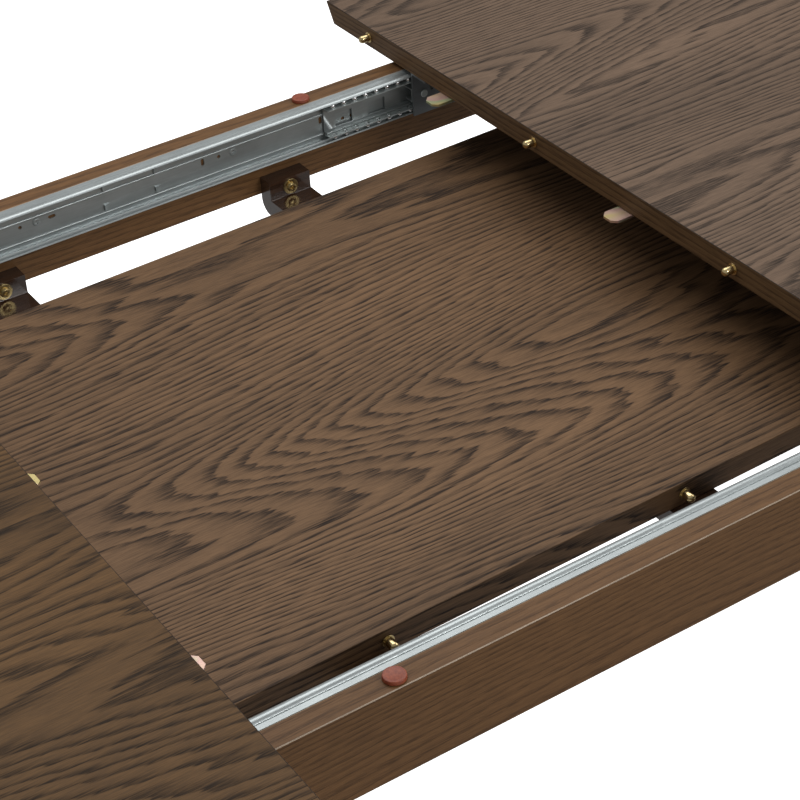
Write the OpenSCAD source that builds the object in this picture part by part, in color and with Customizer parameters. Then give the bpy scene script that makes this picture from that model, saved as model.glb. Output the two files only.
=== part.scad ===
// Extendable dining table: two tops that slide apart on ball-bearing runners,
// with a spare leaf that rests between the aprons.
// Frame: origin on the floor under the middle, +X along the slide, +Y to the far side.
// The tops are drawn fully open. "right" is +X and "left" is -X.

/* [Table] */
// Height of the upper face of the tops above the floor
table_h = 750; // [640:1:900]
// Depth of the table across the slide direction
top_w = 1016; // [840:1:1220]
// Length of each sliding top along the slide direction
top_l = 800; // [740:1:960]
// Thickness of the tops and of the leaf
top_t = 22; // [18:0.5:27]
// How far the under-bevel takes the bottom edge in from the top edge
edge_bevel = 12.5; // [2:0.5:20]
// Seam left between the tops when they are closed
seam = 0.4; // [0.2:0.1:2]

/* [Leaf] */
// Width of the spare leaf, measured along the slide when it is in use
leaf_w = 566; // [420:1:600]
// Room between the opened tops over and above the width of the leaf
leaf_play = 44; // [30:1:56]
// Sideways offset of the leaf where it lies stored
leaf_offset = 8; // [-12:0.5:12]
// Angle by which the stored leaf lies askew
leaf_skew = 1; // [0:0.1:1.5]

/* [Frame] */
// Outer width over the two long aprons
frame_w = 780; // [720:1:940]
// Overhang of the closed tops past each end of the frame
end_overhang = 118; // [60:1:150]
// Thickness of the aprons and of the end rails
apron_t = 22; // [18:0.5:28]
// Height of the aprons
apron_h = 80; // [70:1:110]
// Gap between the aprons and the underside of the tops
top_gap = 4; // [3.8:0.1:6]
// Width of the square leg at its head
leg_head = 60; // [50:1:76]
// Width of the square leg at the floor
leg_foot = 38; // [30:1:46]
// Radius of the nylon glide under each leg
glide_r = 13; // [8:0.5:14]
// Thickness of the nylon glide
glide_t = 5; // [3:0.5:8]
// Thickness of the diagonal corner blocks
block_t = 22; // [18:0.5:28]
// Diameter of the hanger bolts
bolt_d = 8; // [6:0.5:10]

/* [Slides] */
// Height of the fixed slide member
slide_h = 44; // [42:0.5:52]
// Depth of the fixed slide member off the apron
slide_d = 16.8; // [16.4:0.1:20]
// Sheet thickness of the slide members
slide_t = 1.5; // [1.2:0.1:1.8]
// Radius of the rolled race of the fixed member
race_r = 5; // [4.8:0.1:5.4]
// Length of each middle member
mid_l = 300; // [250:1:340]
// Distance of the middle members from the centre when the tops are closed
mid_start = 56; // [40:0.5:60]
// Diameter of the outer bearing balls
ball_d = 6; // [5:0.1:6.2]
// Diameter of the inner bearing balls
small_ball_d = 4; // [3:0.1:4.2]
// Balls in each row of an outer cage
outer_balls = 12; // [6:1:12]
// Balls in each row of an inner cage
inner_balls = 8; // [4:1:8]
// Distance between neighbouring balls
ball_pitch = 12.8; // [11:0.1:13]
// Thickness of the angle bracket that carries the top
bracket_t = 2; // [1.5:0.1:2.5]
// Width of the bracket's screwed flange
bracket_w = 26; // [20:0.5:30]

/* [Fittings] */
// Diameter of the brass aligning pins
pin_d = 8; // [6:0.5:10]
// Length by which a pin stands out of the edge
pin_out = 12; // [8:0.5:14]
// Distance of the outermost pins from the long edges of the tops
pin_margin = 82; // [60:1:120]
// Width of the steel aligning tongues
tongue_w = 20; // [16:0.5:24]
// Length by which the right top's tongues stand out past its edge
tongue_out = 20; // [12:0.5:24]
// Length by which the left top's tongues stand out past its edge
tongue_out_left = 14; // [8:0.5:24]
// Thickness of the tongues
tongue_t = 2.5; // [2:0.1:2.8]
// Place across the table of the right top's middle tongue
tongue_mid_right = 5; // [0:1:20]
// Place across the table of the left top's middle tongue
tongue_mid_left = -28; // [-60:1:-26]
// Radius of the round glide pads on the aprons
pad_r = 9; // [6:0.5:9]
// Thickness of the round glide pads
pad_t = 3.5; // [2:0.1:3.5]
// Distance of the middle pads from the centre
pad_x = 193; // [190:1:240]
// Width of the L-shaped leaf rests along the apron
rest_w = 46; // [36:1:60]
// Thickness of the upright leg of a leaf rest
rest_t = 19; // [14:0.5:22]
// Thickness of the rest's foot
rest_foot = 18; // [12:0.5:22]
// Length by which a rest's foot reaches under the leaf
rest_overlap = 21; // [15:1:40]
// Distance of the leaf rests from the centre
rest_x = 156; // [120:1:240]

/* [Hidden] */
$fn = 48;
// Clearances
eps = 0.01;
fit = 0.3;
running = 0.4;
contact = 0.2;
side_gap = 2;
// Levels
under_z = table_h - top_t;
apron_z = under_z - top_gap;
apron_low = apron_z - apron_h;
slide_z = apron_z - slide_h / 2;
leaf_z = apron_low + contact;
// Plan sizes
frame_l = 2 * top_l - 2 * end_overhang;
inside_y = frame_w / 2 - apron_t;
apron_l = frame_l - 2 * leg_head;
edge_x = (leaf_w + leaf_play) / 2;
travel = edge_x - seam / 2;
// Screws and rivets
screw_r = 2;
screw_head_r = 4.2;
screw_head_t = 2.4;
screw_len = 14;
rivet_r = 2.5;
rivet_head_r = 4;
bolt_r = bolt_d / 2;
bolt_in = 34;
nut_t = 6.5;
washer_t = 1.6;
// Slide sections, as depth off the apron and height from the centre line
race_c = [slide_d - race_r, slide_h / 2 - race_r];
ledge = 5;
rib_r = 1.2;
rib_z = [screw_head_r + rib_r + running, -15.8];
lip_angle = 40;
mid_d = slide_t + rib_r + running;
mid_h = race_c[1] - ball_d / 2 - running;
mid_reach = race_c[0] - 2.8;
small_c = [mid_reach - 1, mid_h - slide_t - running - small_ball_d / 2];
inner_h = small_c[1] - small_ball_d / 2 - running;
inner_back = small_c[0] - small_ball_d / 2 - 1;
plate_d = slide_d + fit;
strip_t = 1;
strip_h = mid_h + 0.5;
strip_d = [race_c[0] - 5.6, race_c[0] + 4.4];
small_strip_d = [small_c[0] - 2.8, small_c[0] + 3.6];
// Places along the slide when the tops are open
slide_l = apron_l - 14;
inner_x = edge_x + 0.5;
inner_l = slide_l / 2 - 8 - inner_x;
mid_x = mid_start + edge_x / 2;
outer_cage_x = mid_x - 1;
inner_cage_x = inner_x + 38;
cage_end = 8;
// Pins, bushes and tongues
collar_r = pin_d / 2 + 1.5;
collar_t = 1;
pin_root = 16;
bush_r = pin_d / 2 + fit + 1.7;
bush_l = pin_out + 4;
tongue_root = 46;
tongue_drop = 0.5;
tongue_cut = 5;
// Diagonal corner blocks, placed from the inner corner of the leg
leg_in = [frame_l / 2 - leg_head, frame_w / 2 - leg_head];
block_gap = 8.5;
block_low = apron_low + 2;
block_h = apron_h - slide_h - 6;
block_z = block_low + block_h / 2;
block_out = leg_in[0] + leg_in[1] - block_gap * sqrt(2);
block_in = block_out - block_t * sqrt(2);
block_screw_deep = 8;
// Rows shared by a piece and by what fits it
pin_pitch = (top_w - 2 * pin_margin) / 3;
pins_y = [for (k = [-1.5:1:1.5]) k * pin_pitch];
bracket_y = inside_y - plate_d - bracket_w;
tongue_end = bracket_y - side_gap - 35;
tongues_right_y = [tongue_end, tongue_mid_right];
tongues_left_y = [-tongue_end, tongue_mid_left];
tongue_screws = [12, 32];
pads_x = [pad_x, apron_l / 2 - 30];
bracket_screws = [24, inner_l / 2, inner_l - 24];
bracket_rivets = [13, inner_l / 3, inner_l - 60];
slide_screws_x = [106, slide_l / 2 - 180, slide_l / 2 - 30];
// Spare holes in the fixed member's web, as place and height from the centre line
round_holes = [[-123, 0], [90, 0], [232, -6.4]];
lying_slots = [[-90, 0], [244, -6.4]];
standing_slots = [[72, 0], [206, 0]];
hole_r = 1.8;
slot_len = 4;
// Stop lugs in the fixed member's web
lugs_x = [-33, 22];
lug_z = 10.2;
lug_w = 7;
lug_h = 6;
lug_out = 2.6;
// Windows in the middle member's web
win_w = 20;
win_h = 14;
win_z = -4;
win_pitch = 39;
win_first = 13;
rest_screw_z = apron_low + rest_t / 2;
rest_washer_r = 8;
rest_fillet = min(3, rest_t / 2 - rest_washer_r - fit);
rest_tip = leaf_w / 2 - abs(leaf_offset) - rest_overlap;

// ---------- placing helpers ----------

// Mirrors what is drawn for the far right quarter to the side (sx, sy)
module quarter(sx, sy) {
    mirror([sx < 0 ? 1 : 0, 0, 0])
        mirror([0, sy < 0 ? 1 : 0, 0])
            children();
}

// Extrudes a (y, z) outline along X
module along_x(x0, length) {
    translate([x0, 0, 0])
        rotate([90, 0, 90])
            linear_extrude(length) children();
}

// Extrudes a (depth, height) slide section along X on the far apron
module slide_bar(x0, length) {
    along_x(x0, length)
        translate([inside_y, slide_z])
            mirror([1, 0]) children();
}

// Round bars that point along +X, +Y and +Z
module rod_x(p, r, length) {
    translate(p)
        rotate([0, 90, 0]) cylinder(r = r, h = length);
}

module rod_y(p, r, length) {
    translate(p)
        rotate([-90, 0, 0]) cylinder(r = r, h = length);
}

module rod_z(p, r, length) {
    translate(p)
        cylinder(r = r, h = length);
}

// Points of an arc about c from angle a0 to angle a1
function arc(c, r, a0, a1, steps = 10) =
    [for (k = [0:steps]) let (a = a0 + (a1 - a0) * k / steps) c + r * [cos(a), sin(a)]];

// ---------- frame ----------

// Screws that hold a corner block, as rods of radius r that start at depth "from"
module block_rod_y(r, from, length) {
    rod_y([(block_in + block_out) / 2 - inside_y, inside_y + from, block_z], r, length);
}

module block_rod_x(r, from, length) {
    face = frame_l / 2 - apron_t;
    rod_x([face + from, (block_in + block_out) / 2 - face, block_z], r, length);
}

// Rod on the diagonal of the corner, measured from the leg's inner corner
module diagonal_rod(r, from, length, sides = $fn) {
    translate([leg_in[0], leg_in[1], block_z])
        rotate([0, 0, 45])
            translate([from, 0, 0])
                rotate([0, 90, 0]) cylinder(r = r, h = length, $fn = sides);
}

module apron() {
    color([0.36, 0.27, 0.2])
        difference() {
            translate([-apron_l / 2, inside_y, apron_low])
                cube([apron_l, apron_t, apron_h]);
            for (sx = [-1, 1]) {
                for (x = slide_screws_x)
                    rod_y([sx * x, inside_y - eps, slide_z], screw_r, screw_len + eps);
                rod_y([sx * rest_x, inside_y - eps, rest_screw_z], screw_r, screw_len + eps);
                quarter(sx, 1) block_rod_y(screw_r, -eps, screw_len + eps);
            }
        }
}

module end_rail() {
    color([0.36, 0.27, 0.2])
        difference() {
            translate([frame_l / 2 - apron_t, -leg_in[1], apron_low])
                cube([apron_t, 2 * leg_in[1], apron_h]);
            for (sy = [-1, 1])
                quarter(1, sy) block_rod_x(screw_r, -eps, screw_len + eps);
        }
}

// Outline of the leg seen from one side, tapered on its inner face
module leg_outline() {
    polygon([
        [0, apron_z], [0, glide_t], [-leg_foot, glide_t],
        [-leg_head, apron_low], [-leg_head, apron_z]
    ]);
}

module leg() {
    color([0.36, 0.27, 0.2])
        difference() {
            intersection() {
                translate([frame_l / 2, frame_w / 2, 0])
                    rotate([90, 0, 0]) linear_extrude(leg_head) leg_outline();
                along_x(leg_in[0], leg_head)
                    translate([frame_w / 2, 0]) leg_outline();
            }
            diagonal_rod(bolt_r, -eps, bolt_in + eps);
        }
}

module corner_block() {
    face = frame_l / 2 - apron_t;
    color([0.55, 0.42, 0.3])
        difference() {
            translate([0, 0, block_low])
                linear_extrude(block_h)
                    polygon([
                        [block_in - inside_y, inside_y], [block_out - inside_y, inside_y],
                        [face, block_out - face], [face, block_in - face]
                    ]);
            diagonal_rod(bolt_r + fit, -block_gap - block_t - 1, block_t + 2);
            block_rod_y(screw_r, -block_screw_deep - eps, block_screw_deep + 2 * eps);
            block_rod_x(screw_r, -block_screw_deep - eps, block_screw_deep + 2 * eps);
            block_rod_y(screw_head_r + fit, -block_t, block_t - block_screw_deep);
            block_rod_x(screw_head_r + fit, -block_t, block_t - block_screw_deep);
        }
}

module hanger_bolt() {
    back = block_gap + block_t + washer_t + nut_t + 4;
    diagonal_rod(bolt_r, -back, back + bolt_in);
}

module hanger_nut() {
    face = block_gap + block_t;
    difference() {
        union() {
            diagonal_rod(bolt_d, -face - washer_t, washer_t);
            diagonal_rod(bolt_d * 0.92, -face - washer_t - nut_t, nut_t, sides = 6);
        }
        diagonal_rod(bolt_r, -face - washer_t - nut_t - 1, washer_t + nut_t + 2);
    }
}

module hanger_bolts() {
    color([0.75, 0.75, 0.75])
        for (sx = [-1, 1], sy = [-1, 1])
            quarter(sx, sy) hanger_bolt();
}

module hanger_nuts() {
    color([0.7, 0.7, 0.7])
        for (sx = [-1, 1], sy = [-1, 1])
            quarter(sx, sy) hanger_nut();
}

module corner_block_screws() {
    deep = block_screw_deep;
    color([0.8, 0.7, 0.4])
        for (sx = [-1, 1], sy = [-1, 1])
            quarter(sx, sy) {
                block_rod_y(screw_r, -deep - eps, deep + screw_len);
                block_rod_y(screw_head_r, -deep - screw_head_t, screw_head_t);
                block_rod_x(screw_r, -deep - eps, deep + screw_len);
                block_rod_x(screw_head_r, -deep - screw_head_t, screw_head_t);
            }
}

module foot_glides() {
    mid = leg_foot / 2;
    color([0.15, 0.15, 0.15])
        for (sx = [-1, 1], sy = [-1, 1])
            quarter(sx, sy)
                rod_z([frame_l / 2 - mid, frame_w / 2 - mid, 0], glide_r, glide_t);
}

module glide_pads() {
    color([0.6, 0.35, 0.28])
        for (sx = [-1, 1], sy = [-1, 1], x = pads_x)
            quarter(sx, sy) {
                rod_z([x, frame_w / 2 - apron_t / 2, apron_z], pad_r, pad_t * 0.7);
                translate([x, frame_w / 2 - apron_t / 2, apron_z + pad_t * 0.7])
                    cylinder(r1 = pad_r, r2 = pad_r - 1, h = pad_t * 0.3);
            }
}

// ---------- leaf rests ----------

module leaf_rest() {
    low = leaf_z - contact - rest_foot;
    round_r = 14;
    color([0.16, 0.11, 0.08])
        difference() {
            along_x(rest_x - rest_w / 2, rest_w)
                difference() {
                    union() {
                        translate([inside_y - rest_t, apron_low])
                            square([rest_t, rest_t]);
                        translate([rest_tip, low])
                            square([inside_y - rest_tip, rest_foot]);
                        translate([inside_y - rest_t - rest_fillet, apron_low])
                            square([rest_fillet + eps, rest_fillet]);
                    }
                    translate([inside_y - rest_t - rest_fillet, apron_low + rest_fillet])
                        circle(r = rest_fillet);
                    translate([inside_y - round_r, low - eps])
                        difference() {
                            square([round_r + 1, round_r + eps]);
                            translate([0, round_r + eps]) circle(r = round_r);
                        }
                }
            rod_y([rest_x, inside_y - rest_t - 1, rest_screw_z], screw_r, rest_t + 2);
        }
}

module leaf_rest_screws() {
    face = inside_y - rest_t;
    color([0.85, 0.75, 0.4])
        for (sx = [-1, 1], sy = [-1, 1])
            quarter(sx, sy) {
                rod_y([rest_x, face - washer_t, rest_screw_z], rest_washer_r, washer_t);
                rod_y([rest_x, face - washer_t - 3, rest_screw_z], screw_r + 3, 3);
                rod_y([rest_x, face - eps, rest_screw_z], screw_r, rest_t + screw_len);
            }
}

// ---------- slide members ----------

module outer_section() {
    top = slide_h / 2;
    half = concat(
        [[0, top], [ledge, top]],
        arc(race_c, race_r, 150, lip_angle),
        arc(race_c, race_r - slide_t, lip_angle, 150),
        [[ledge - 0.5, top - slide_t], [slide_t, top - slide_t]]
    );
    polygon(concat(
        half,
        arc([slide_t, rib_z[0]], rib_r, 90, -90),
        arc([slide_t, rib_z[1]], rib_r, 90, -90),
        [for (i = [len(half) - 1:-1:0]) [half[i][0], -half[i][1]]]
    ));
}

// Lug lanced out of the fixed member's web, where the middle members stop
module stop_lug(x, z) {
    translate([x, inside_y - slide_t, slide_z + z - lug_h / 2])
        linear_extrude(lug_h)
            polygon([
                [-lug_w / 2, 0.5], [lug_w / 2, 0.5], [lug_w / 2, 0], [-lug_w / 2, -lug_out]
            ]);
}

// Spare slot through the fixed member's web: lying, or standing when turned by 90
module web_slot(p, turn) {
    deep = slide_t + 2;
    translate([p[0], inside_y - slide_t - 1, slide_z + p[1]])
        rotate([0, turn, 0]) {
            for (s = [-0.5, 0.5])
                rod_y([s * slot_len, 0, 0], hole_r, deep);
            translate([-slot_len / 2, 0, -hole_r]) cube([slot_len, deep, 2 * hole_r]);
        }
}

module slide_outer() {
    deep = slide_t + 2;
    front = inside_y - slide_t - 1;
    color([0.66, 0.68, 0.7]) {
        difference() {
            slide_bar(-slide_l / 2, slide_l) outer_section();
            for (sx = [-1, 1], x = slide_screws_x)
                rod_y([sx * x, front, slide_z], screw_r, deep);
            for (p = round_holes)
                rod_y([p[0], front, slide_z + p[1]], hole_r, deep);
            for (p = lying_slots)
                web_slot(p, 0);
            for (p = standing_slots)
                web_slot(p, 90);
        }
        for (x = lugs_x, z = [-lug_z, lug_z])
            stop_lug(x, z);
    }
}

module slide_screws() {
    color([0.7, 0.7, 0.7])
        for (sx = [-1, 1], sy = [-1, 1], x = slide_screws_x)
            quarter(sx, sy) {
                rod_y([x, inside_y - slide_t - 1.2, slide_z], screw_head_r, 1.2);
                rod_y([x, inside_y - slide_t - eps, slide_z], screw_r, slide_t + screw_len - 1);
            }
}

module mid_section() {
    translate([mid_d, -mid_h]) square([slide_t, 2 * mid_h]);
    for (s = [0, 1])
        mirror([0, s]) {
            translate([mid_d, mid_h - slide_t]) square([mid_reach - mid_d, slide_t]);
        }
}

module slide_mid() {
    front = inside_y - mid_d - slide_t - 1;
    color([0.62, 0.64, 0.66])
        difference() {
            slide_bar(mid_x, mid_l) mid_section();
            for (x = [win_first:win_pitch:mid_l - win_w - win_first])
                translate([mid_x + x, front, slide_z + win_z - win_h / 2])
                    cube([win_w, slide_t + 2, win_h]);
        }
}

module inner_section() {
    difference() {
        translate([inner_back, -inner_h])
            square([plate_d - inner_back, 2 * inner_h]);
        translate([inner_back - 1, -inner_h + slide_t])
            square([plate_d - slide_t - inner_back + 1, 2 * (inner_h - slide_t)]);
    }
}

module slide_inner() {
    color([0.6, 0.62, 0.64])
        difference() {
            slide_bar(inner_x, inner_l) inner_section();
            for (x = bracket_rivets)
                rod_y([inner_x + x, inside_y - plate_d - 1, slide_z], rivet_r, slide_t + 2);
        }
}

// Angle bracket: its upright plate is riveted to the inner member and its
// flange is screwed to the underside of the top
module bracket_section() {
    top_h = slide_h / 2 + top_gap;
    translate([plate_d, -slide_h / 2]) square([bracket_t, top_h + slide_h / 2]);
    translate([plate_d, top_h - bracket_t]) square([bracket_w, bracket_t]);
}

module bracket() {
    color([0.45, 0.46, 0.47])
        difference() {
            slide_bar(inner_x, inner_l) bracket_section();
            for (x = bracket_rivets) {
                rod_y([inner_x + x, inside_y - plate_d - bracket_t - 1, slide_z],
                    rivet_r, bracket_t + 2);
                rod_y([inner_x + x + 10, inside_y - plate_d - bracket_t - 1, slide_z + 3],
                    rivet_r, bracket_t + 2);
            }
            for (x = bracket_screws)
                rod_z([inner_x + x, bracket_y + bracket_w / 2, under_z - bracket_t - 1],
                    screw_r, bracket_t + 2);
        }
}

module bracket_rivets(sx) {
    color([0.8, 0.8, 0.8])
        for (sy = [-1, 1], x = bracket_rivets)
            quarter(sx, sy) {
                rod_y([inner_x + x, inside_y - plate_d - bracket_t - eps, slide_z],
                    rivet_r, bracket_t + slide_t + 2 * eps);
                rod_y([inner_x + x, inside_y - plate_d - bracket_t - 1.5, slide_z],
                    rivet_head_r, 1.5);
                rod_y([inner_x + x, inside_y - plate_d + slide_t, slide_z], rivet_head_r, 1.2);
            }
}

// ---------- ball cages ----------

// One row of balls, or the pockets for them
module ball_row(x0, count, c, r) {
    for (k = [0:count - 1])
        translate([x0 + cage_end + k * ball_pitch, inside_y - c[0], slide_z + c[1]])
            sphere(r = r, $fn = 24);
}

module pocket_row(x0, count, c, r) {
    for (k = [0:count - 1])
        rod_z([x0 + cage_end + k * ball_pitch, inside_y - c[0], slide_z + c[1] - 4], r, 8);
}

function cage_l(count) = (count - 1) * ball_pitch + 2 * cage_end;

module outer_cages(sx) {
    color([0.78, 0.8, 0.8])
        for (sy = [-1, 1], s = [-1, 1])
            quarter(sx, sy)
                difference() {
                    slide_bar(outer_cage_x, cage_l(outer_balls))
                        translate([strip_d[0], s * strip_h - (s < 0 ? strip_t : 0)])
                            square([strip_d[1] - strip_d[0], strip_t]);
                    pocket_row(outer_cage_x, outer_balls, [race_c[0], s * strip_h],
                        ball_d / 2 - 0.4);
                }
}

module outer_balls(sx) {
    color([0.85, 0.85, 0.88])
        for (sy = [-1, 1], s = [-1, 1])
            quarter(sx, sy)
                ball_row(outer_cage_x, outer_balls, [race_c[0], s * race_c[1]], ball_d / 2);
}

module inner_cages(sx) {
    color([0.78, 0.8, 0.8])
        for (sy = [-1, 1], s = [-1, 1])
            quarter(sx, sy)
                difference() {
                    slide_bar(inner_cage_x, cage_l(inner_balls))
                        translate([small_strip_d[0], s * small_c[1] - strip_t / 2])
                            square([small_strip_d[1] - small_strip_d[0], strip_t]);
                    pocket_row(inner_cage_x, inner_balls, [small_c[0], s * small_c[1]],
                        small_ball_d / 2 + 0.15);
                }
}

module inner_balls(sx) {
    color([0.85, 0.85, 0.88])
        for (sy = [-1, 1], s = [-1, 1])
            quarter(sx, sy)
                ball_row(inner_cage_x, inner_balls, [small_c[0], s * small_c[1]],
                    small_ball_d / 2);
}

// ---------- tops and leaf ----------

// Board that hangs its upper face on z = 0, bevelled under on its chosen sides
module board(x0, x1, width, bevel_x0, bevel_x1) {
    intersection() {
        along_x(x0, x1 - x0)
            polygon([
                [-width / 2, 0], [-width / 2 + edge_bevel, -top_t],
                [width / 2 - edge_bevel, -top_t], [width / 2, 0]
            ]);
        translate([0, width / 2, 0])
            rotate([90, 0, 0])
                linear_extrude(width)
                    polygon([
                        [x0, 0], [x0 + bevel_x0, -top_t],
                        [x1 - bevel_x1, -top_t], [x1, 0]
                    ]);
    }
}

// Screws up into the underside, as rods of radius r
module bracket_screw_rods(r, z, length) {
    for (sy = [-1, 1], x = bracket_screws)
        rod_z([inner_x + x, sy * (bracket_y + bracket_w / 2), z], r, length);
}

module tongue_screw_rods(rows, r, z, length) {
    for (y = rows, x = tongue_screws)
        rod_z([edge_x + x, y, z], r, length);
}

module top_blank(rows) {
    difference() {
        translate([0, 0, table_h]) board(edge_x, edge_x + top_l, top_w, 0, edge_bevel);
        bracket_screw_rods(screw_r, under_z - eps, screw_len);
        tongue_screw_rods(rows, screw_r, under_z - eps, screw_len);
    }
}

module top_right() {
    color([0.4, 0.31, 0.24])
        difference() {
            top_blank(tongues_right_y);
            for (y = pins_y)
                rod_x([edge_x - eps, y, table_h - top_t / 2], pin_d / 2, pin_root + eps);
        }
}

module top_left() {
    color([0.4, 0.31, 0.24])
        mirror([1, 0, 0])
            difference() {
                top_blank(tongues_left_y);
                for (y = pins_y)
                    rod_x([edge_x - eps, y, table_h - top_t / 2], bush_r, bush_l + eps);
            }
}

// Aligning pin that stands out of a face at x = 0 towards -X
module pin() {
    tip = pin_d / 2;
    rod_x([-pin_out + tip, 0, 0], pin_d / 2, pin_out - tip + pin_root);
    rod_x([-collar_t, 0, 0], collar_r, collar_t);
    translate([-pin_out + tip, 0, 0]) sphere(r = tip);
}

// Blind bush that lines a hole, with its mouth at x = 0 opening towards -X
module bush() {
    difference() {
        rod_x([0, 0, 0], bush_r, bush_l);
        rod_x([-1, 0, 0], pin_d / 2 + fit, pin_out + 2.4);
        rod_x([-1, 0, 0], collar_r + fit - eps, collar_t + fit + 1);
    }
}

module pins_right() {
    color([0.85, 0.75, 0.45])
        for (y = pins_y)
            translate([edge_x, y, table_h - top_t / 2]) pin();
}

module sockets_left() {
    color([0.8, 0.7, 0.42])
        mirror([1, 0, 0])
            for (y = pins_y)
                translate([edge_x, y, table_h - top_t / 2]) bush();
}

// Aligning tongue: a stepped plate whose nose runs just under the other board
module tongue(reach) {
    nose = reach - tongue_cut;
    difference() {
        translate([0, tongue_w / 2, 0])
            rotate([90, 0, 0])
                linear_extrude(tongue_w)
                    polygon([
                        [-reach, -tongue_drop - tongue_t], [1, -tongue_drop - tongue_t],
                        [3, -tongue_t], [tongue_root, -tongue_t], [tongue_root, 0],
                        [3, 0], [1, -tongue_drop], [-reach, -tongue_drop]
                    ]);
        for (s = [0, 1])
            mirror([0, s, 0])
                translate([0, 0, -tongue_t - 2])
                    linear_extrude(tongue_t + 4)
                        polygon([
                            [-nose, tongue_w / 2 + 1], [-nose, tongue_w / 2],
                            [-reach, tongue_w / 2 - tongue_cut],
                            [-reach - 1, tongue_w / 2 - tongue_cut],
                            [-reach - 1, tongue_w / 2 + 1]
                        ]);
        for (x = tongue_screws)
            rod_z([x, 0, -tongue_t - 1], screw_r, tongue_t + 2);
    }
}

module tongues(sx, rows, reach) {
    color([0.82, 0.72, 0.45])
        quarter(sx, 1)
            for (y = rows)
                translate([edge_x, y, under_z]) tongue(reach);
}

module underside_screws(sx, rows) {
    color([0.8, 0.7, 0.4])
        quarter(sx, 1) {
            bracket_screw_rods(screw_r, under_z - bracket_t - eps, bracket_t + screw_len - 1);
            bracket_screw_rods(screw_head_r, under_z - bracket_t - screw_head_t, screw_head_t);
            tongue_screw_rods(rows, screw_r, under_z - tongue_t - eps, tongue_t + screw_len - 1);
            tongue_screw_rods(rows, screw_head_r, under_z - tongue_t - 1.2, 1.2);
        }
}

// Turns what is drawn for the leaf in use, pins towards -X, to where it lies stored
module stored() {
    translate([0, leaf_offset, leaf_z + top_t])
        rotate([0, 0, 90 + leaf_skew]) children();
}

module leaf() {
    mid_z = -top_t / 2;
    color([0.42, 0.32, 0.24])
        stored()
            difference() {
                along_x(-leaf_w / 2, leaf_w)
                    polygon([
                        [-top_w / 2, 0], [-top_w / 2 + edge_bevel, -top_t],
                        [top_w / 2 - edge_bevel, -top_t], [top_w / 2, 0]
                    ]);
                for (y = pins_y) {
                    rod_x([-leaf_w / 2 - eps, y, mid_z], pin_d / 2, pin_root + eps);
                    rod_x([leaf_w / 2 - bush_l, y, mid_z], bush_r, bush_l + eps);
                }
            }
}

module leaf_pins() {
    color([0.85, 0.75, 0.45])
        stored()
            for (y = pins_y)
                translate([-leaf_w / 2, y, -top_t / 2]) pin();
}

module leaf_sockets() {
    color([0.8, 0.7, 0.42])
        stored()
            for (y = pins_y)
                translate([leaf_w / 2, y, -top_t / 2])
                    mirror([1, 0, 0]) bush();
}

apron();  // apron_far
quarter(1, -1) apron();  // apron_near
end_rail();  // end_rail_right
quarter(-1, 1) end_rail();  // end_rail_left
leg();  // leg_far_right
quarter(1, -1) leg();  // leg_near_right
quarter(-1, 1) leg();  // leg_far_left
quarter(-1, -1) leg();  // leg_near_left
corner_block();  // corner_block_far_right
quarter(1, -1) corner_block();  // corner_block_near_right
quarter(-1, 1) corner_block();  // corner_block_far_left
quarter(-1, -1) corner_block();  // corner_block_near_left
hanger_bolts();
hanger_nuts();
corner_block_screws();
foot_glides();
slide_outer();  // slide_outer_far
quarter(1, -1) slide_outer();  // slide_outer_near
slide_screws();
leaf_rest();  // leaf_rest_far_right
quarter(1, -1) leaf_rest();  // leaf_rest_near_right
quarter(-1, 1) leaf_rest();  // leaf_rest_far_left
quarter(-1, -1) leaf_rest();  // leaf_rest_near_left
leaf_rest_screws();
glide_pads();
top_right();
pins_right();
tongues(1, tongues_right_y, tongue_out);  // tongues_right
underside_screws(1, tongues_right_y);  // underside_screws_right
bracket();  // bracket_far_right
quarter(1, -1) bracket();  // bracket_near_right
bracket_rivets(1);  // bracket_rivets_right
slide_inner();  // slide_inner_far_right
quarter(1, -1) slide_inner();  // slide_inner_near_right
top_left();
sockets_left();
tongues(-1, tongues_left_y, tongue_out_left);  // tongues_left
underside_screws(-1, tongues_left_y);  // underside_screws_left
quarter(-1, 1) bracket();  // bracket_far_left
quarter(-1, -1) bracket();  // bracket_near_left
bracket_rivets(-1);  // bracket_rivets_left
quarter(-1, 1) slide_inner();  // slide_inner_far_left
quarter(-1, -1) slide_inner();  // slide_inner_near_left
slide_mid();  // slide_mid_far_right
quarter(1, -1) slide_mid();  // slide_mid_near_right
quarter(-1, 1) slide_mid();  // slide_mid_far_left
quarter(-1, -1) slide_mid();  // slide_mid_near_left
outer_cages(1);  // outer_cages_right
outer_balls(1);  // outer_balls_right
inner_cages(1);  // inner_cages_right
inner_balls(1);  // inner_balls_right
outer_cages(-1);  // outer_cages_left
outer_balls(-1);  // outer_balls_left
inner_cages(-1);  // inner_cages_left
inner_balls(-1);  // inner_balls_left
leaf();
leaf_pins();
leaf_sockets();
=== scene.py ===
from math import cos, radians, sin

import bpy
from mathutils import Matrix, Vector


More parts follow.
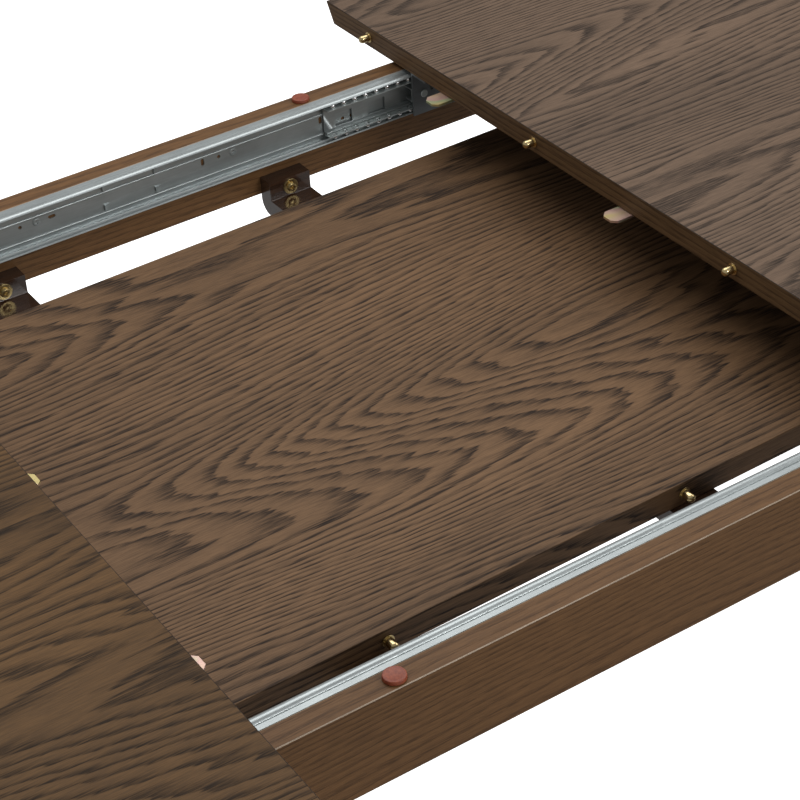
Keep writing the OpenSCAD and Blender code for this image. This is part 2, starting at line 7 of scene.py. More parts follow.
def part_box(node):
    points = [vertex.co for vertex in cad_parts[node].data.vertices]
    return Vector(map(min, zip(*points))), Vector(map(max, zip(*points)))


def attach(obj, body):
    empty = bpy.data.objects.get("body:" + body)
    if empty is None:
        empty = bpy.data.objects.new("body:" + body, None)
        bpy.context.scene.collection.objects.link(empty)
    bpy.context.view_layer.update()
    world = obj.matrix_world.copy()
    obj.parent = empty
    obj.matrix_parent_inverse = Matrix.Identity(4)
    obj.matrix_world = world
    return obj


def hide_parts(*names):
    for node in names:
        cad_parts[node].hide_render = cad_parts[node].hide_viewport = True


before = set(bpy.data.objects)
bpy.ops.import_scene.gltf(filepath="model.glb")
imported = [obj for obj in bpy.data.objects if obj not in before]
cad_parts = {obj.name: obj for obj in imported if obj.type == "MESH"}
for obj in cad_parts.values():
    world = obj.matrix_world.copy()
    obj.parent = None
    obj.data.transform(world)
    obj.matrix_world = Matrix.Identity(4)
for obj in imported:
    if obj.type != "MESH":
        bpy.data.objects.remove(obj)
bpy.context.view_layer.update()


# ---------- Aprons and end rails ----------
# Four solid boards of walnut-stained wood that make the box under the tops.
# Each is sawn square, its arrises are eased, and it butts between the leg heads.
mm = 0.001


def only(piece):
    """Leaves one piece selected and active."""
    if bpy.context.mode != "OBJECT":
        bpy.ops.object.mode_set(mode="OBJECT")
    bpy.ops.object.select_all(action="DESELECT")
    piece.select_set(True)
    bpy.context.view_layer.objects.active = piece


def block(name, low, high):
    """A cube stretched from its lowest to its highest corner, with its place in its mesh."""
    bpy.ops.object.select_all(action="DESELECT")
    middle = [(a + b) / 2 for a, b in zip(low, high)]
    sizes = [b - a for a, b in zip(low, high)]
    bpy.ops.mesh.primitive_cube_add(size=1, location=middle, scale=sizes)
    piece = bpy.context.object
    piece.name = piece.data.name = name
    bpy.ops.object.transform_apply(location=True, rotation=True, scale=True)
    return piece


def edit_points(piece, chosen):
    """Opens a piece for editing with only the points picked that pass the test."""
    only(piece)
    for part in (piece.data.vertices, piece.data.edges, piece.data.polygons):
        part.foreach_set("select", [False] * len(part))
    for point in piece.data.vertices:
        point.select = chosen(point.co)
    bpy.context.tool_settings.mesh_select_mode = (True, False, False)
    bpy.ops.object.mode_set(mode="EDIT")


def ease(piece, width, segments=3, crease=30):
    """Rounds a piece's sharp edges and shades it smooth between them."""
    only(piece)
    bpy.ops.object.shade_smooth_by_angle(angle=radians(crease))
    arris = piece.modifiers.new("arris", "BEVEL")
    arris.width = width
    arris.segments = segments
    arris.limit_method = "ANGLE"
    arris.angle_limit = radians(crease)
    arris.harden_normals = True
    bpy.ops.object.modifier_apply(modifier=arris.name)


def add(tree, kind, wires=None, **settings):
    """Adds a shader node; a wire that is a socket is linked and any other value is set."""
    made = tree.nodes.new("ShaderNode" + kind)
    for key, value in settings.items():
        setattr(made, key, value)
    for key, value in (wires or {}).items():
        if isinstance(value, bpy.types.NodeSocket):
            tree.links.new(value, made.inputs[key])
        else:
            made.inputs[key].default_value = value
    return made


def maths(tree, operation, a, b=0.0, clamp=False):
    return add(tree, "Math", {0: a, 1: b}, operation=operation, use_clamp=clamp).outputs[0]


def stretched(tree, place, scale):
    """The coordinates scaled by a different amount along each axis."""
    return add(tree, "VectorMath", {0: place, 1: scale}, operation="MULTIPLY").outputs[0]


def noise(tree, place, scale, detail=2.0, rough=0.5):
    """Noise whose cells are 1/scale metres long on each axis."""
    wires = {"Vector": stretched(tree, place, scale), "Scale": 1.0, "Detail": detail,
             "Roughness": rough}
    return add(tree, "TexNoise", wires).outputs["Fac"]


def steps(tree, value, stops, smooth=True):
    """A colour ramp through (place, colour) stops."""
    ramp = add(tree, "ValToRGB", {"Fac": value})
    ramp.color_ramp.interpolation = "EASE" if smooth else "LINEAR"
    marks = ramp.color_ramp.elements
    while len(marks) < len(stops):
        marks.new(0.5)
    for mark, (place, colour) in zip(marks, stops):
        mark.position = place
        mark.color = (*colour, 1)
    return ramp.outputs["Color"]


def blended(tree, mode, amount, a, b):
    """Two colours mixed by a blend mode."""
    mix = add(tree, "Mix", data_type="RGBA", blend_type=mode)
    if isinstance(amount, bpy.types.NodeSocket):
        tree.links.new(amount, mix.inputs[0])
    else:
        mix.inputs[0].default_value = amount
    for number, value in ((6, a), (7, b)):
        if isinstance(value, bpy.types.NodeSocket):
            tree.links.new(value, mix.inputs[number])
        else:
            mix.inputs[number].default_value = (*value, 1)
    return mix.outputs[2]


def tint(red, green, blue):
    """A colour given as 0 to 255 on a colour chart, made linear."""
    return tuple(((c / 255 + 0.055) / 1.055) ** 2.4 if c > 10 else c / 255 / 12.92
                 for c in (red, green, blue))


def grey(level):
    return (level, level, level)


def new_material(name):
    material = bpy.data.materials.new(name)
    material.use_nodes = True
    tree = material.node_tree
    return material, tree, tree.nodes["Principled BSDF"]


def stained_oak(name, pale, dark, turn=(0, 0, 0), shift=(0, 0, 0), figure=60, spread=35,
                lines=1.0, relief=0.5, gloss=0.5):
    """Open-grained wood under a stain: rings drawn as contour lines, pores laid in them.

    The grain runs along X once turned. figure sets how wild the rings are, spread how many
    there are across each metre, and lines how dark the stain lies in them.
    """
    material, tree, shader = new_material(name)
    place = add(tree, "TexCoord").outputs["Object"]
    place = add(tree, "Mapping", {"Vector": place, "Rotation": turn, "Location": shift}).outputs[0]
    across = add(tree, "SeparateXYZ", {0: place})
    field = maths(tree, "MULTIPLY", noise(tree, place, (1.0, 5.5, 5.5), 1.0, 0.4), figure)
    field = maths(tree, "ADD", field, maths(tree, "MULTIPLY", across.outputs["Y"], spread))
    field = maths(tree, "ADD", field, maths(tree, "MULTIPLY", across.outputs["Z"], spread))
    wobble = maths(tree, "MULTIPLY", noise(tree, place, (5, 60, 60), 3.0, 0.6), 1.7)
    jag = maths(tree, "MULTIPLY", noise(tree, place, (14, 420, 420), 2.0, 0.6), 0.3)
    ring = maths(tree, "FRACT", maths(tree, "ADD", maths(tree, "ADD", field, wobble), jag))
    porous = steps(tree, ring, [(0.0, grey(0.1)), (0.08, grey(1.0)), (0.24, grey(0.85)),
                                (0.5, grey(0.22)), (0.85, grey(0.0)), (1.0, grey(0.1))], False)
    dashes = noise(tree, place, (34, 640, 640), 2.0, 0.6)
    dashes = steps(tree, dashes, [(0.38, grey(0)), (0.62, grey(1))])
    streaks = noise(tree, place, (12, 300, 300), 4.0, 0.7)
    fibres = steps(tree, streaks, [(0.34, grey(0)), (0.66, grey(1))])
    pores = noise(tree, place, (55, 1100, 1100), 2.0, 0.6)
    pores = steps(tree, pores, [(0.44, grey(0)), (0.56, grey(1))])
    broad = noise(tree, place, (1.4, 8, 8), 3.0, 0.55)
    # How deep the stain has gone in: most in the porous wood, broken into dashes
    strength = maths(tree, "ADD", maths(tree, "MULTIPLY", dashes, 0.62 * lines), 0.4 * lines)
    soak = maths(tree, "MULTIPLY", porous, strength, clamp=True)
    flecks = maths(tree, "MULTIPLY", pores, maths(tree, "ADD", maths(tree, "MULTIPLY", porous, 0.5), 0.35))
    wood = blended(tree, "MIX", maths(tree, "MULTIPLY", fibres, 0.45),
                   pale, tuple(0.6 * p + 0.4 * d for p, d in zip(pale, dark)))
    wood = blended(tree, "MIX", soak, wood, dark)
    wood = blended(tree, "MIX", maths(tree, "MULTIPLY", flecks, 0.6), wood,
                   tuple(0.6 * d for d in dark))
    tone = steps(tree, broad, [(0.25, grey(0.82)), (0.75, grey(1.15))])
    wood = blended(tree, "MULTIPLY", 1.0, wood, tone)
    tree.links.new(wood, shader.inputs["Base Color"])
    dull = maths(tree, "ADD", maths(tree, "MULTIPLY", soak, 0.15), gloss)
    tree.links.new(dull, shader.inputs["Roughness"])
    shader.inputs["Specular IOR Level"].default_value = 0.2
    height = maths(tree, "ADD", maths(tree, "MULTIPLY", soak, -0.6),
                   maths(tree, "MULTIPLY", flecks, -0.6))
    bump = add(tree, "Bump", {"Height": height, "Strength": relief, "Distance": 0.25 * mm})
    tree.links.new(bump.outputs[0], shader.inputs["Normal"])
    return material


def hand_over(piece, body, slot, material, *nodes):
    """Gives a piece its finish and its body, and hides the frame nodes that it stands for."""
    if not piece.data.materials:
        piece.data.materials.append(material)
    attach(piece, body)
    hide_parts(*nodes)


QUARTER = radians(90)
apron_pale = tint(122, 88, 55)
apron_dark = tint(74, 50, 30)
frame_wood = {
    "along": stained_oak("apron_wood_along", apron_pale, apron_dark, figure=18, spread=150,
                         lines=0.5, relief=0.2, gloss=0.4),
    "across": stained_oak("apron_wood_across", apron_pale, apron_dark, turn=(0, 0, QUARTER),
                          figure=18, spread=150, lines=0.5, relief=0.2, gloss=0.4),
    "upright": stained_oak("apron_wood_upright", apron_pale, apron_dark, turn=(0, QUARTER, 0),
                           figure=18, spread=150, lines=0.5, relief=0.2, gloss=0.4),
}


def line_arris(board, finish, chosen):
    """Gives the narrow faces along the picked arrises a finish of their own."""
    board.data.materials.append(finish)
    number = len(board.data.materials) - 1
    for face in board.data.polygons:
        if max(abs(part) for part in face.normal) < 0.97 and chosen(face.normal):
            face.material_index = number


# Painted highlight: a paler wood finish on the eased arrises that face up, drawing a thin light line where
# the lamps catch the top edge of each apron.
arris_highlight = stained_oak("painted_highlight_arris", tint(176, 158, 138), tint(140, 120, 100), figure=10, spread=20,
                     lines=0.4, relief=0.1, gloss=0.25)
for node, grain in (("apron_far", "along"), ("apron_near", "along"),
                    ("end_rail_right", "across"), ("end_rail_left", "across")):
    board = block(node + "_board", *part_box(node))
    ease(board, 1.0 * mm)
    board.data.materials.append(frame_wood[grain])
    # paints the highlight onto the arris faces that face up
    line_arris(board, arris_highlight, lambda n: n.z > 0.3)
    hand_over(board, "frame", "apron_wood", frame_wood[grain], node)


# ---------- Legs ----------
# Four solid legs in the same stained wood, square at the head and sawn to a taper on
# the two inner faces from the aprons down. A hanger bolt holds each in its corner.
apron_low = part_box("apron_far")[0].z
foot_width = 38 * mm
for node in ("leg_far_right", "leg_near_right", "leg_far_left", "leg_near_left"):
    low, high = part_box(node)
    leg = block(node + "_post", low, high)
    edit_points(leg, lambda p: True)
    bpy.ops.mesh.bisect(plane_co=(0, 0, apron_low), plane_no=(0, 0, 1))
    bpy.ops.object.mode_set(mode="OBJECT")
    taper = (high.x - low.x) - foot_width
    for axis in (0, 1):
        side = 1 if low[axis] > 0 else -1
        inner = low[axis] if side > 0 else high[axis]
        edit_points(leg, lambda p: p.z < low.z + mm and abs(p[axis] - inner) < mm)
        move = [0, 0, 0]
        move[axis] = side * taper
        bpy.ops.transform.translate(value=move)
        bpy.ops.object.mode_set(mode="OBJECT")
    ease(leg, 1.2 * mm)
    hand_over(leg, "frame", "apron_wood", frame_wood["upright"], node)


# ---------- Corner blocks ----------
# Sawn beech blocks that span each corner under the slides. They are left clear, with
# square-sawn ends, and screws and a hanger bolt pull them and the leg tight.
def worked_copy(node, suffix, arris=0.0, crease=30, segments=2):
    """A copy of a frame node with its faces joined up and its edges eased."""
    piece = bpy.data.objects.new(node + suffix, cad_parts[node].data.copy())
    piece.data.name = piece.name
    piece.data.materials.clear()
    bpy.context.scene.collection.objects.link(piece)
    only(piece)
    bpy.ops.mesh.customdata_custom_splitnormals_clear()
    bpy.ops.object.mode_set(mode="EDIT")
    bpy.ops.mesh.select_all(action="SELECT")
    bpy.ops.mesh.remove_doubles(threshold=0.002 * mm)
    bpy.ops.mesh.dissolve_limited(angle_limit=radians(0.5))
    bpy.ops.object.mode_set(mode="OBJECT")
    if arris:
        ease(piece, arris, segments, crease)
    else:
        bpy.ops.object.shade_smooth_by_angle(angle=radians(crease))
    return piece


beech = stained_oak("beech_clear", tint(196, 158, 112), tint(150, 112, 72), turn=(0, 0, radians(-45)),
                    figure=14, spread=110, lines=0.45, relief=0.3, gloss=0.55)
for corner in ("far_right", "near_right", "far_left", "near_left"):
    node = "corner_block_" + corner
    hand_over(worked_copy(node, "_beech", 0.8 * mm), "frame", "block_wood", beech, node)


# ---------- Corner hardware and foot glides ----------
# Zinc-plated hanger bolts with hexagon nuts on washers, and yellow screws in their
# counterbores. Each leg stands on a moulded black nylon glide.
def plated(name, colour, rough=0.3, streak=(14, 900, 900), wear=0.06, solid=1.0):
    """Rolled and plated metal: fine streaks along the rolling direction, cloudy plating."""
    material, tree, shader = new_material(name)
    place = add(tree, "TexCoord").outputs["Object"]
    streaks = noise(tree, place, streak, 3.0, 0.6)
    clouds = noise(tree, place, (30, 60, 60), 3.0, 0.6)
    tone = steps(tree, clouds, [(0.3, tuple(0.88 * c for c in colour)), (0.7, colour)])
    shade = steps(tree, streaks, [(0.3, grey(0.9)), (0.7, grey(1.0))])
    tree.links.new(blended(tree, "MULTIPLY", 1.0, tone, shade), shader.inputs["Base Color"])
    dull = maths(tree, "ADD", maths(tree, "MULTIPLY", streaks, wear * 2), rough - wear)
    tree.links.new(dull, shader.inputs["Roughness"])
    shader.inputs["Metallic"].default_value = solid
    bump = add(tree, "Bump", {"Height": streaks, "Strength": 0.05, "Distance": 0.02 * mm})
    tree.links.new(bump.outputs[0], shader.inputs["Normal"])
    return material


zinc = plated("bright_zinc", (0.46, 0.50, 0.50), rough=0.32, solid=0.6)
yellow_zinc = plated("yellow_zinc_screws", (0.72, 0.56, 0.26), rough=0.28, streak=(90, 90, 90))
hand_over(worked_copy("hanger_bolts", "_zinc", 0.5 * mm), "frame", "zinc_steel", zinc, "hanger_bolts")
hand_over(worked_copy("hanger_nuts", "_zinc", 0.5 * mm), "frame", "zinc_steel", zinc, "hanger_nuts")
hand_over(worked_copy("corner_block_screws", "_yellow", 0.6 * mm), "frame", "yellow_zinc",
          yellow_zinc, "corner_block_screws")

nylon, tree, shader = new_material("black_nylon")
grit = noise(tree, add(tree, "TexCoord").outputs["Object"], (900, 900, 900), 3.0, 0.6)
tree.links.new(steps(tree, grit, [(0.3, grey(0.018)), (0.7, grey(0.032))]), shader.inputs["Base Color"])
shader.inputs["Roughness"].default_value = 0.5
bump = add(tree, "Bump", {"Height": grit, "Strength": 0.2, "Distance": 0.1 * mm})
tree.links.new(bump.outputs[0], shader.inputs["Normal"])
hand_over(worked_copy("foot_glides", "_nylon", 1.2 * mm, segments=3), "frame", "nylon", nylon, "foot_glides")


# ---------- Fixed slide members ----------
# Cold-rolled steel sections, bright zinc plated, screwed to the inner faces of the two
# long aprons. Each is one strip with rolled ball races, pressed ribs and lanced lugs.
for side in ("far", "near"):
    node = "slide_outer_" + side
    hand_over(worked_copy(node, "_steel", 0.15 * mm, crease=35), "frame", "zinc_steel", zinc, node)


# ---------- Slide screws ----------
# Low pan-head screws through the web of each fixed member, with a pressed cross recess.
def edit_faces(piece, chosen):
    """Opens a piece for editing with only the faces picked whose centre and normal pass the test."""
    only(piece)
    for part in (piece.data.vertices, piece.data.edges, piece.data.polygons):
        part.foreach_set("select", [False] * len(part))
    for face in piece.data.polygons:
        face.select = chosen(face.center, face.normal)
    bpy.context.tool_settings.mesh_select_mode = (False, False, True)
    bpy.ops.object.mode_set(mode="EDIT")


def cross_screw(name, head_radius, head_height, shank_radius, shank_length):
    """A pan-head screw that stands up from z = 0, with its shank below."""
    bpy.ops.object.select_all(action="DESELECT")
    bpy.ops.mesh.primitive_cylinder_add(vertices=28, radius=head_radius, depth=head_height,
                                        location=(0, 0, head_height / 2))
    screw = bpy.context.object
    screw.name = screw.data.name = name
    bpy.ops.object.transform_apply(location=True, rotation=True, scale=True)
    edit_faces(screw, lambda c, n: n.z > 0.9)
    bpy.ops.transform.resize(value=(0.8, 0.8, 1))
    bpy.ops.mesh.inset(thickness=0.35 * head_radius)
    bpy.ops.transform.translate(value=(0, 0, 0.12 * head_height))
    edit_faces(screw, lambda c, n: n.z < -0.9)
    bpy.ops.mesh.inset(thickness=head_radius - shank_radius)
    bpy.ops.mesh.extrude_region_move(TRANSFORM_OT_translate={"value": (0, 0, -shank_length)})
    bpy.ops.object.mode_set(mode="OBJECT")
    ease(screw, 0.07 * head_radius, 2)
    for turned in (0, 1):
        arm = [0.55 * head_radius, 0.13 * head_radius]
        if turned:
            arm.reverse()
        cutter = block("recess", (-arm[0], -arm[1], 0.35 * head_height), (*arm, 2 * head_height))
        cut = screw.modifiers.new("recess", "BOOLEAN")
        cut.operation = "DIFFERENCE"
        cut.solver = "EXACT"
        cut.object = cutter
        only(screw)
        bpy.ops.object.modifier_apply(modifier=cut.name)
        bpy.data.objects.remove(cutter)
    return screw


def set_out(name, pattern, places):
    """One piece made of copies of a pattern, each turned and set at its place."""
    copies = []
    for place in places:
        copy = bpy.data.objects.new(name, pattern.data.copy())
        copy.data.transform(place)
        bpy.context.scene.collection.objects.link(copy)
        copies.append(copy)
    only(copies[0])
    for copy in copies:
        copy.select_set(True)
    if len(copies) > 1:
        bpy.ops.object.join()
    joined = bpy.context.view_layer.objects.active
    joined.name = joined.data.name = name
    return joined


FACING = {"nearer": Matrix.Rotation(QUARTER, 4, "X"), "further": Matrix.Rotation(-QUARTER, 4, "X")}
inside_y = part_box("apron_far")[0].y
apron_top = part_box("apron_far")[1].z
slide_middle = (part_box("slide_outer_far")[0].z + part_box("slide_outer_far")[1].z) / 2
slide_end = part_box("slide_outer_far")[1].x
web = 1.5 * mm
web_screws = (106 * mm, slide_end - 180 * mm, slide_end - 30 * mm)
slide_screw = cross_screw("slide_screw", 4.2 * mm, 1.1 * mm, 2 * mm, 14 * mm)
places = [Matrix.Translation((sx * x, sy * (inside_y - web), slide_middle))
          @ FACING["nearer" if sy > 0 else "further"] @ Matrix.Rotation(radians(37 * i), 4, "Z")
          for i, x in enumerate(web_screws) for sx in (-1, 1) for sy in (-1, 1)]
screws = set_out("slide_screws_pan_head", slide_screw, places)
hand_over(screws, "frame", "zinc_steel", zinc, "slide_screws")
bpy.data.objects.remove(slide_screw)


# ---------- Leaf rests ----------
# Small L-shaped blocks in dark brown gloss lacquer, screwed under the slides. The leaf
# lies on their feet. Their outer corner is rounded over and a fillet is left inside.
espresso, tree, shader = new_material("espresso_gloss")
place = add(tree, "TexCoord").outputs["Object"]
grain = noise(tree, place, (18, 260, 260), 3.0, 0.6)
colour = steps(tree, grain, [(0.3, tint(50, 33, 23)), (0.7, tint(68, 46, 32))])
tree.links.new(colour, shader.inputs["Base Color"])
shader.inputs["Roughness"].default_value = 0.22
shader.inputs["Coat Weight"].default_value = 0.5
shader.inputs["Coat Roughness"].default_value = 0.1
bump = add(tree, "Bump", {"Height": grain, "Strength": 0.12, "Distance": 0.2 * mm})
tree.links.new(bump.outputs[0], shader.inputs["Normal"])
for corner in ("far_right", "near_right", "far_left", "near_left"):
    node = "leaf_rest_" + corner
    hand_over(worked_copy(node, "_block", 1.3 * mm, segments=3), "frame", "rest_wood", espresso, node)

rest_x = sum(corner.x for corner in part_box("leaf_rest_far_right")) / 2
rest_thickness = 19 * mm
screw_z = apron_low + rest_thickness / 2
washer = 1.6 * mm
rest_screw = cross_screw("rest_screw", 5 * mm, 3 * mm, 2 * mm, 33 * mm)
bpy.ops.object.select_all(action="DESELECT")
bpy.ops.mesh.primitive_cylinder_add(vertices=32, radius=8 * mm, depth=washer, location=(0, 0, -washer / 2))
ring = bpy.context.object
bpy.ops.object.transform_apply(location=True, rotation=True, scale=True)
ease(ring, 0.3 * mm, 2)
rest_screw.select_set(True)
bpy.context.view_layer.objects.active = rest_screw
bpy.ops.object.join()
places = [Matrix.Translation((sx * rest_x, sy * (inside_y - rest_thickness - washer), screw_z))
          @ FACING["nearer" if sy > 0 else "further"] @ Matrix.Rotation(radians(12), 4, "Z")
          for sx in (-1, 1) for sy in (-1, 1)]
screws = set_out("leaf_rest_screws_and_washers", rest_screw, places)
hand_over(screws, "frame", "yellow_zinc", yellow_zinc, "leaf_rest_screws")
bpy.data.objects.remove(rest_screw)


# ---------- Glide pads ----------
# Soft red-brown studs pressed on top of the aprons, which the tops slide over. Each is
# a moulded disc with a rounded rim and a faintly hollow face.
pad_felt, tree, shader = new_material("pad_soft_plastic")
place = add(tree, "TexCoord").outputs["Object"]
mottle = noise(tree, place, (420, 420, 420), 4.0, 0.65)
tree.links.new(steps(tree, mottle, [(0.3, tint(122, 54, 34)), (0.7, tint(150, 76, 48))]),
               shader.inputs["Base Color"])
shader.inputs["Roughness"].default_value = 0.45
bump = add(tree, "Bump", {"Height": mottle, "Strength": 0.25, "Distance": 0.2 * mm})
tree.links.new(bump.outputs[0], shader.inputs["Normal"])
pad_low, pad_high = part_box("glide_pads")
pad_thickness = pad_high.z - pad_low.z
pad_radius = 9 * mm
bpy.ops.object.select_all(action="DESELECT")
bpy.ops.mesh.primitive_cylinder_add(vertices=48, radius=pad_radius, depth=pad_thickness,
                                    location=(0, 0, pad_thickness / 2))
pad = bpy.context.object
bpy.ops.object.transform_apply(location=True, rotation=True, scale=True)
edit_faces(pad, lambda c, n: n.z > 0.9)
bpy.ops.transform.resize(value=(0.95, 0.95, 1))
bpy.ops.mesh.inset(thickness=2.2 * mm)
bpy.ops.mesh.inset(thickness=1.2 * mm)
bpy.ops.transform.translate(value=(0, 0, -0.3 * mm))
bpy.ops.object.mode_set(mode="OBJECT")
ease(pad, 0.8 * mm, 3, crease=40)
pads_y = (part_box("apron_far")[0].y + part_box("apron_far")[1].y) / 2
pads_x = (193 * mm, pad_high.x - pad_radius)
places = [Matrix.Translation((sx * x, sy * pads_y, apron_top))
          for x in pads_x for sx in (-1, 1) for sy in (-1, 1)]
pads = set_out("glide_pad_studs", pad, places)
hand_over(pads, "frame", "pad_felt", pad_felt, "glide_pads")
bpy.data.objects.remove(pad)


# ---------- Middle slide members ----------
# Pressed channels that float between the fixed and the inner members, with windows
# punched through the web. They follow the tops at half their travel.
for end in ("right", "left"):
    for side in ("far", "near"):
        node = f"slide_mid_{side}_{end}"
        hand_over(worked_copy(node, "_steel", 0.2 * mm, crease=35), "slide_mid_" + end, "zinc_steel",
                  zinc, node)


# ---------- Ball cages and balls ----------
# Thin punched strips that hold the hardened balls apart in their races.
ball_steel = plated("ball_steel", (0.9, 0.9, 0.9), rough=0.12, streak=(300, 300, 300), wear=0.03)
cage_steel = plated("cage_strip", (0.66, 0.72, 0.71), rough=0.42, solid=0.7)
for end in ("right", "left"):
    for ring in ("outer", "inner"):
        body = f"{ring}_cage_{end}"
        node = f"{ring}_cages_{end}"
        hand_over(worked_copy(node, "_strip", 0.12 * mm), body, "zinc_steel", cage_steel, node)
        node = f"{ring}_balls_{end}"
        hand_over(worked_copy(node, "_hardened", crease=60), body, "bright_steel", ball_steel, node)


# ---------- Inner members, brackets and rivets ----------
# The inner members are small channels riveted to angle brackets in satin plated steel.
# The brackets' flanges are screwed up into the tops, so all of it moves with them.
satin = plated("bracket_satin", (0.24, 0.26, 0.27), rough=0.42, solid=0.7)
for end in ("right", "left"):
    for side in ("far", "near"):
        node = f"slide_inner_{side}_{end}"
        hand_over(worked_copy(node, "_steel", 0.2 * mm), "top_" + end, "zinc_steel", zinc, node)
        node = f"bracket_{side}_{end}"
        hand_over(worked_copy(node, "_angle", 0.35 * mm), "top_" + end, "bracket_steel", satin, node)
    node = "bracket_rivets_" + end
    hand_over(worked_copy(node, "_set", 0.6 * mm, segments=3), "top_" + end, "bright_steel", cage_steel, node)


# ---------- Sliding tops ----------
# Two veneered boards, brushed and stained, with the grain along the slide. They are cut
# under at an angle on the three outer sides and edge-banded across the inner one.
under_bevel = 12.5 * mm
glue_line = stained_oak("dark_glue_line", tint(52, 42, 33), tint(30, 23, 17), figure=10, spread=20,
                        lines=0.5, relief=0.1, gloss=0.5)


def veneered_board(name, low, high, bevelled_sides, banded_sides, face_wood, band_wood):
    """A board cut under on some sides, with band veneer on others."""
    board = block(name, low, high)
    for axis, side in bevelled_sides:
        limit = high[axis] if side > 0 else low[axis]
        edit_points(board, lambda p: p.z < low[2] + mm and abs(p[axis] - limit) < mm)
        move = [0, 0, 0]
        move[axis] = -side * under_bevel
        bpy.ops.transform.translate(value=move)
        bpy.ops.object.mode_set(mode="OBJECT")
    ease(board, 0.7 * mm)
    board.data.materials.append(face_wood)
    board.data.materials.append(band_wood)
    for face in board.data.polygons:
        for axis, side in banded_sides:
            if face.normal[axis] * side > 0.7:
                face.material_index = 1
    line_arris(board, glue_line, lambda n: n.z > 0.3 and abs(n.x) > 0.3)
    return board


def drill(board, radius, depth, mouths, inward):
    """Bores a row of blind holes into a board's edge."""
    for mouth in mouths:
        bpy.ops.object.select_all(action="DESELECT")
        middle = Vector(mouth) + Vector(inward) * (depth / 2 - mm)
        turn = Vector(inward).to_track_quat("Z", "Y").to_euler()
        bpy.ops.mesh.primitive_cylinder_add(vertices=32, radius=radius, depth=depth + 2 * mm,
                                            location=middle, rotation=turn)
        bit = bpy.context.object
        cut = board.modifiers.new("bore", "BOOLEAN")
        cut.operation = "DIFFERENCE"
        cut.solver = "EXACT"
        cut.object = bit
        only(board)
        bpy.ops.object.modifier_apply(modifier=cut.name)
        bpy.data.objects.remove(bit)


oak_dark = tint(44, 31, 18)
veneer = {
    "right": stained_oak("veneer_right_top", tint(120, 98, 80), tint(52, 41, 33),
                         shift=(0.31, 1.72, 0.4), figure=44, spread=60),
    "left": stained_oak("veneer_left_top", tint(108, 78, 44), oak_dark,
                        shift=(2.63, 0.41, 0.9), figure=38, spread=60),
}
band = stained_oak("edge_band", tint(112, 86, 58), tint(72, 52, 34), turn=(0, 0, QUARTER),
                   figure=16, spread=150, lines=0.8, relief=0.3)
pins_y = [k * (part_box("top_right")[1].y * 2 - 164 * mm) / 3 for k in (-1.5, -0.5, 0.5, 1.5)]
top_middle = (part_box("top_right")[0].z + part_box("top_right")[1].z) / 2
bush_radius, bush_length = 6 * mm, 16 * mm
for end, outward in (("right", 1), ("left", -1)):
    low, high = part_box("top_" + end)
    top = veneered_board(f"top_{end}_board", low, high, ((0, outward), (1, 1), (1, -1)),
                         ((0, 1), (0, -1)), veneer[end], band)
    edge = low.x if outward > 0 else high.x
    radius, depth = (4 * mm, 16 * mm) if outward > 0 else (bush_radius, bush_length)
    drill(top, radius, depth, [(edge, y, top_middle) for y in pins_y], (outward, 0, 0))
    hand_over(top, "top_" + end, "top_veneer", veneer[end], "top_" + end)


# ---------- Aligning pins and bushes ----------
# Turned brass pins with a collar and a round nose stand out of the right top's edge,
# and drop into brass bushes let into the left top's edge.
brass = plated("turned_brass", (0.74, 0.58, 0.30), rough=0.2, streak=(600, 120, 120))
hand_over(worked_copy("pins_right", "_brass", 0.25 * mm, crease=35), "top_right", "brass",
          brass, "pins_right")
hand_over(worked_copy("sockets_left", "_brass", 0.2 * mm, crease=35), "top_left", "brass",
          brass, "sockets_left")


# ---------- Aligning tongues ----------
# Stepped steel plates with cropped corners, screwed under each top, whose noses run
# under the other board to keep the seam level. Yellow chromate leaves a rainbow bloom.
bloom, tree, shader = new_material("yellow_chromate")
place = add(tree, "TexCoord").outputs["Object"]
film = noise(tree, place, (30, 45, 45), 1.0, 0.4)
colour = steps(tree, film, [(0.34, (0.66, 0.54, 0.24)), (0.46, (0.70, 0.50, 0.38)),
                            (0.54, (0.66, 0.44, 0.38)), (0.62, (0.50, 0.55, 0.32)),
                            (0.74, (0.66, 0.56, 0.26))])
tree.links.new(colour, shader.inputs["Base Color"])
shader.inputs["Metallic"].default_value = 0.75
scratch = noise(tree, place, (30, 700, 700), 3.0, 0.6)
dull = maths(tree, "ADD", maths(tree, "MULTIPLY", scratch, 0.15), 0.32)
tree.links.new(dull, shader.inputs["Roughness"])
for end in ("right", "left"):
    node = "tongues_" + end
    hand_over(worked_copy(node, "_plate", 0.3 * mm), "top_" + end, "yellow_zinc", bloom, node)


# ---------- Screws under the tops ----------
# Yellow pan-head screws that hold the bracket flanges and the tongues to the underside.
for end in ("right", "left"):
    node = "underside_screws_" + end
    hand_over(worked_copy(node, "_yellow", 0.5 * mm), "top_" + end, "yellow_zinc", yellow_zinc, node)


# ---------- Spare leaf ----------
# A third veneered board, stored turned between the aprons on the leaf rests, a little
# askew. Both long edges are cut under. It has pins on one long edge and bushes opposite.
leaf_length, leaf_width, leaf_thickness = 1016 * mm, 566 * mm, 22 * mm
leaf_wood = stained_oak("veneer_leaf", tint(126, 96, 68), tint(44, 32, 24),
                        shift=(0.93, 3.37, 0.2), figure=46, spread=62)
leaf_askew = radians(1)
leaf_low, leaf_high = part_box("leaf")
leaf_middle = ((leaf_low.x + leaf_high.x) / 2, (leaf_low.y + leaf_high.y) / 2, leaf_high.z)
leaf_place = (Matrix.Translation(leaf_middle)
              @ Matrix.Rotation(leaf_askew, 4, "Z"))
half = (leaf_length / 2, leaf_width / 2)
leaf = veneered_board("leaf_board", (-half[0], -half[1], -leaf_thickness), (half[0], half[1], 0),
                      ((0, 1), (0, -1)), ((0, 1), (0, -1)), leaf_wood, band)
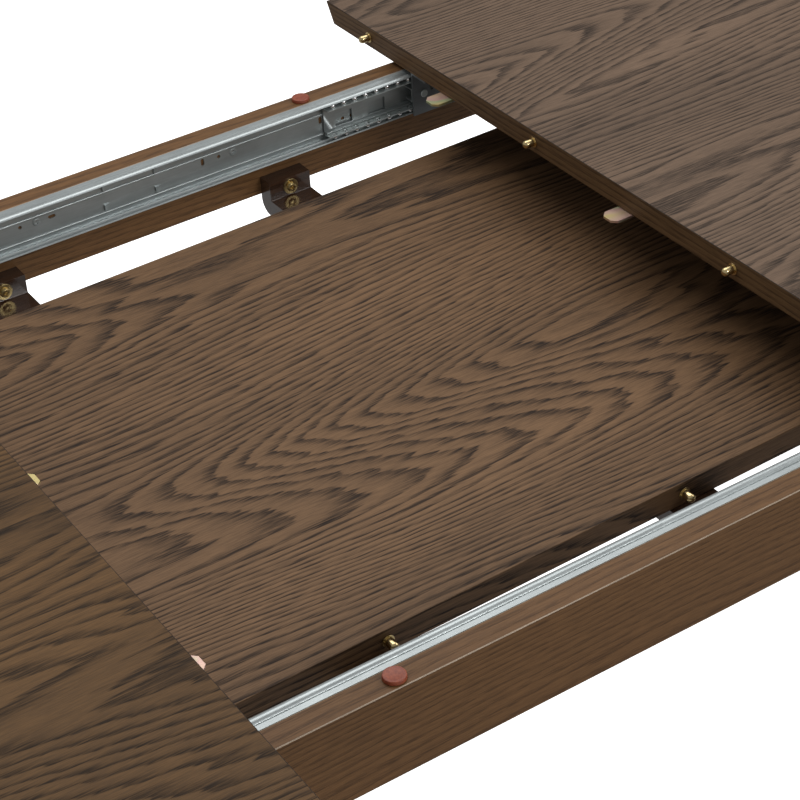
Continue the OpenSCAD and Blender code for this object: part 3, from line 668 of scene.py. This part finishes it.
drill(leaf, 4 * mm, 16 * mm, [(y, -half[1], -leaf_thickness / 2) for y in pins_y], (0, 1, 0))
drill(leaf, bush_radius, bush_length, [(y, half[1], -leaf_thickness / 2) for y in pins_y], (0, -1, 0))
leaf.data.transform(leaf_place)
hand_over(leaf, "leaf", "leaf_veneer", leaf_wood, "leaf")
hand_over(worked_copy("leaf_pins", "_brass", 0.25 * mm, crease=35), "leaf", "brass", brass, "leaf_pins")
hand_over(worked_copy("leaf_sockets", "_brass", 0.2 * mm, crease=35), "leaf", "brass", brass, "leaf_sockets")


# ---------- Studio ----------
# A white sweep that glows a little, so that no shadow greys it, two wide soft boxes and
# an even pale surround.
bpy.ops.object.select_all(action="DESELECT")
bpy.ops.mesh.primitive_plane_add(size=40, location=(0, 0, 0))
floor = bpy.context.object
floor.name = "studio_floor"
paper, tree, shader = new_material("studio_white")
shader.inputs["Base Color"].default_value = (0.9, 0.9, 0.9, 1)
shader.inputs["Roughness"].default_value = 0.9
shader.inputs["Emission Color"].default_value = (1, 1, 1, 1)
shader.inputs["Emission Strength"].default_value = 1.0
floor.data.materials.append(paper)
floor.visible_diffuse = False
floor.visible_glossy = False


def soft_box(name, place, aim, size, power):
    """A square area light that faces a point."""
    lamp = bpy.data.lights.new(name, "AREA")
    lamp.shape = "RECTANGLE"
    lamp.size, lamp.size_y = size
    lamp.energy = power
    holder = bpy.data.objects.new(name, lamp)
    bpy.context.scene.collection.objects.link(holder)
    holder.location = place
    holder.rotation_euler = (Vector(aim) - Vector(place)).to_track_quat("-Z", "Y").to_euler()


soft_box("overhead_box", (0.4, 0.9, 2.9), (0.1, 0.1, 0.7), (2.6, 1.6), 32)
soft_box("side_box", (2.6, -0.6, 2.3), (0, 0, 0.7), (1.6, 1.6), 20)
soft_box("front_box", (1.1, -3.1, 2.3), (0, -0.1, 0.7), (1.2, 0.8), 34)
world = bpy.data.worlds.new("studio_surround")
world.use_nodes = True
world.node_tree.nodes["Background"].inputs["Color"].default_value = (1.0, 1.0, 1.0, 1)
world.node_tree.nodes["Background"].inputs["Strength"].default_value = 0.36
bpy.context.scene.world = world
bpy.context.scene.view_settings.view_transform = "Standard"

camera_place = Vector((-0.7548, -1.3434, 1.7420))
camera_azimuth, camera_height, camera_roll = radians(-31.08), radians(35.26), radians(-3.99)
back = Vector((sin(camera_azimuth) * cos(camera_height), -cos(camera_azimuth) * cos(camera_height),
               sin(camera_height)))
level = Vector((0, 0, 1)).cross(back).normalized()
upward = back.cross(level)
right = cos(camera_roll) * level + sin(camera_roll) * upward
upward = -sin(camera_roll) * level + cos(camera_roll) * upward
lens = bpy.data.cameras.new("camera")
lens.sensor_width = 36
lens.lens = 99.75
camera = bpy.data.objects.new("camera", lens)
camera.matrix_world = Matrix.Translation(camera_place) @ Matrix((right, upward, back)).transposed().to_4x4()
bpy.context.scene.collection.objects.link(camera)
bpy.context.scene.camera = camera
